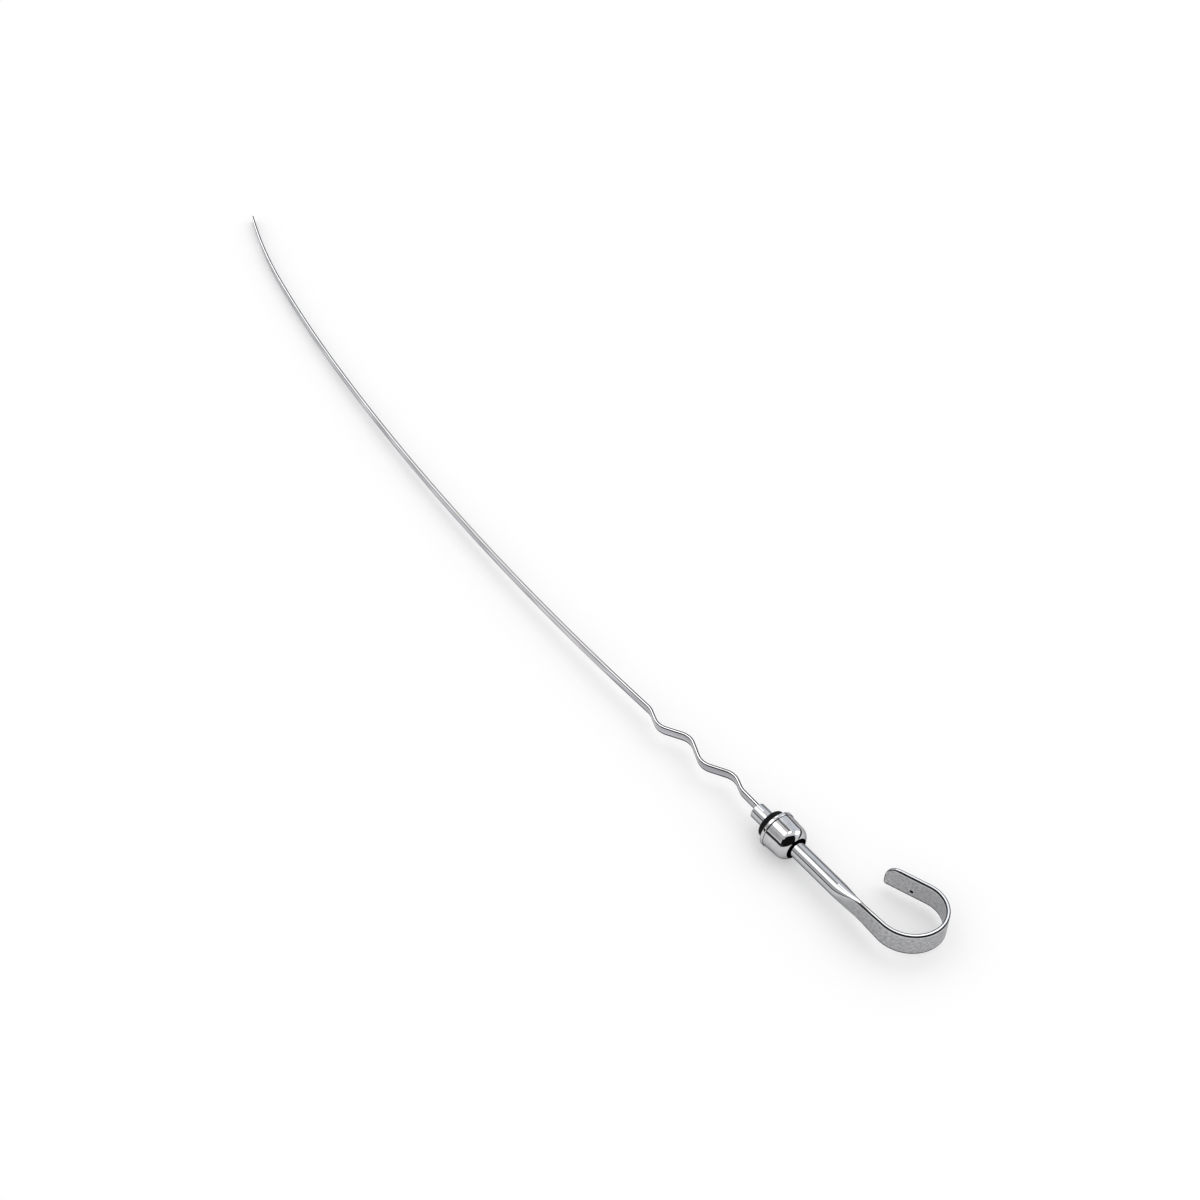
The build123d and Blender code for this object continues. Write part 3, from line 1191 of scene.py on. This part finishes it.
@dataclass
class Seal(Piece):
    """The rubber bush: a flange that fills the cap and a rounded nose that stands out of it."""

    node: ClassVar[str] = "seal"
    slot: ClassVar[str] = "seal_rubber"
    finish: ClassVar[Finish] = SealRubber()

    proud: float = 3.3
    bore_radius: float = 3.205
    nose_radius: float = 5.8
    nose_round: float = 0.7
    flange_radius: float = 6.3119
    flange_set_in: float = 0.5
    back_x: float = 11.0
    taper_length: float = 1.6
    taper_depth: float = 1.1
    edge_round: float = 0.12
    corner_steps: int = 6
    steps: int = 96

    def model(self) -> Object:
        """Models the bush.

        Returns:
            The seal.
        """
        flange_x = self.proud + self.flange_set_in
        corners = [
            (0.0, self.bore_radius, self.edge_round),
            (0.0, self.nose_radius, self.nose_round),
            (flange_x, self.nose_radius, 0.0),
            (flange_x, self.flange_radius, self.edge_round),
            (self.back_x - self.taper_length, self.flange_radius, self.edge_round),
            (self.back_x, self.flange_radius - self.taper_depth, self.edge_round),
            (self.back_x, self.bore_radius, self.edge_round),
        ]
        return turn_on_axis("rubber_seal", rounded(corners, self.corner_steps), self.steps)


@dataclass(frozen=True)
class Card:
    """A studio card that shows only in reflections, set by its angle round a level axis, in metres and degrees.

    The axis is the tube's own, turned about the vertical. An angle of 0 is level with the table on the camera's
    side of the unturned axis, and 90 is overhead.
    """

    name: str
    low_deg: float
    high_deg: float
    x_from: float
    x_to: float
    glow: Colour
    distance: float = 1.0
    turn_deg: float = 0.0

    def build(self) -> None:
        """Hangs the card, which lights nothing and isn't seen by the camera."""
        middle = radians((self.low_deg + self.high_deg) / 2)
        half = radians((self.high_deg - self.low_deg) / 2)
        turn = radians(self.turn_deg)
        place = Vector(((self.x_from + self.x_to) / 2, -self.distance * cos(middle), self.distance * sin(middle)))
        deselect()
        bpy.ops.mesh.primitive_plane_add(
            size=1.0,
            location=Matrix.Rotation(turn, 3, "Z") @ place,
            rotation=(-pi / 2 - middle, 0.0, turn),
        )
        card = bpy.context.object
        card.name = self.name
        card.scale = (self.x_to - self.x_from, 2 * self.distance * tan(half), 1.0)
        card.data.materials.append(Glow(self.name, self.glow).material())
        card.visible_camera = card.visible_diffuse = card.visible_shadow = False


@dataclass
class Studio:
    """A white table, soft light, the camera of the picture and the cards that bright metal mirrors, in metres."""

    floor_z: float = -0.00754
    floor_size: float = 12.0
    paper: Finish = TablePaper()
    ambient: float = 0.95
    key_place: Triple = (0.15, 1.2, 2.2)
    key_size: float = 2.4
    key_watts: float = 11.0
    camera_place: Triple = (0.33416, -0.32531, 0.59921)
    camera_aim: Triple = (-0.13178, 0.02154, -0.00744)
    focal_pixels: float = 2082.75
    frame_pixels: float = 1200.0
    sensor_mm: float = 36.0
    clip_start: float = 0.01
    cards: tuple[Card, ...] = (
        Card("low_flag", 3.0, 18.0, -2.6, 1.4, (0.04, 0.04, 0.045)),
        Card("grey_card", 24.0, 46.0, -2.6, -0.2, (0.60, 0.60, 0.61), 1.02),
        Card("overhead_softbox", 57.0, 87.0, -2.6, -0.30, (3.4, 3.4, 3.4)),
        Card("back_flag", 102.0, 115.0, -0.525, 0.2, (0.28, 0.28, 0.28)),
        Card("window_card", 126.0, 166.0, -2.6, 1.2, (0.98, 1.02, 1.09)),
        Card("blade_softbox", 103.0, 123.0, -2.6, -0.535, (2.1, 2.1, 2.1), 0.97),
        Card("hook_softbox", 115.5, 126.0, -0.345, -0.20, (1.5, 1.5, 1.5)),
        Card("cap_card", 46.0, 64.5, -0.39, 0.2, (0.76, 0.76, 0.77), 0.98),
        Card("far_flag", 169.0, 181.0, -0.6, 0.3, (0.03, 0.03, 0.035), 0.2),
        Card("dark_room", 0.0, 68.0, -0.95, 1.6, (0.01, 0.01, 0.01), 1.1, 53.0),
        Card("top_lamp", 92.0, 112.0, -0.25, 0.10, (4.0, 4.0, 4.0), 0.9),
        Card("side_lamp", 17.0, 43.0, -0.2, 0.2, (4.0, 4.0, 4.0), 0.85, 151.0),
    )

    def build_world(self) -> None:
        """Lights the room evenly, and shows plain white behind the table and in reflections."""
        world = bpy.data.worlds.new("studio")
        bpy.context.scene.world = world
        tree = Tree(world)
        seen = tree.seen()
        strength = seen + (1 - seen) * self.ambient
        white = tree.node("ShaderNodeBackground", sockets={"Color": (1.0, 1.0, 1.0, 1.0), "Strength": strength})
        tree.finish(white, "ShaderNodeOutputWorld")

    def build_floor(self) -> None:
        """Lays the white table, which keeps the dipstick's shadow."""
        deselect()
        bpy.ops.mesh.primitive_plane_add(size=self.floor_size, location=(0.0, 0.0, self.floor_z))
        floor = bpy.context.object
        floor.name = self.paper.name
        floor.data.materials.append(self.paper.material())

    def build_key(self) -> None:
        """Hangs the large soft lamp behind the dipstick."""
        data = bpy.data.lights.new("key", "AREA")
        data.shape = "SQUARE"
        data.size = self.key_size
        data.energy = self.key_watts
        lamp = bpy.data.objects.new("key", data)
        bpy.context.scene.collection.objects.link(lamp)
        lamp.location = self.key_place
        lamp.rotation_euler = (-Vector(self.key_place)).to_track_quat("-Z", "Y").to_euler()
        lamp.visible_camera = lamp.visible_glossy = False

    def build_camera(self) -> None:
        """Sets the camera where the picture was taken from."""
        data = bpy.data.cameras.new("camera")
        data.sensor_width = self.sensor_mm
        data.lens = self.focal_pixels / self.frame_pixels * self.sensor_mm
        data.clip_start = self.clip_start
        camera = bpy.data.objects.new("camera", data)
        bpy.context.scene.collection.objects.link(camera)
        camera.location = self.camera_place
        aim = Vector(self.camera_aim) - Vector(self.camera_place)
        camera.rotation_euler = aim.to_track_quat("-Z", "Y").to_euler()
        bpy.context.scene.camera = camera

    def build(self) -> None:
        """Sets up the whole studio."""
        bpy.context.scene.view_settings.view_transform = "Standard"
        self.build_camera()
        self.build_world()
        self.build_floor()
        self.build_key()
        for card in self.cards:
            card.build()


def report(piece: Object, node: str) -> None:
    """Logs how far a piece's box is from its node's box.

    Args:
        piece: The finished piece.
        node: The node that it stands for.
    """
    corners = [[v.co[i] for v in piece.data.vertices] for i in range(3)]
    made = [min(c) for c in corners] + [max(c) for c in corners]
    node_box = [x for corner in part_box(node) for x in corner]
    off = max(abs(a - b) for a, b in zip(made, node_box)) / MM
    LOG.info("%s: %d faces, box within %.3f mm of %s", piece.name, len(piece.data.polygons), off, node)


def main() -> None:
    """Builds the studio and the dipstick."""
    logging.basicConfig(level=logging.INFO, format="%(message)s")
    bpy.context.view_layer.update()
    Studio().build()
    for piece in (Blade(), Handle(), Cap(), Seal()):
        report(piece.build(), piece.node)


if __name__ == "__main__":
    main()
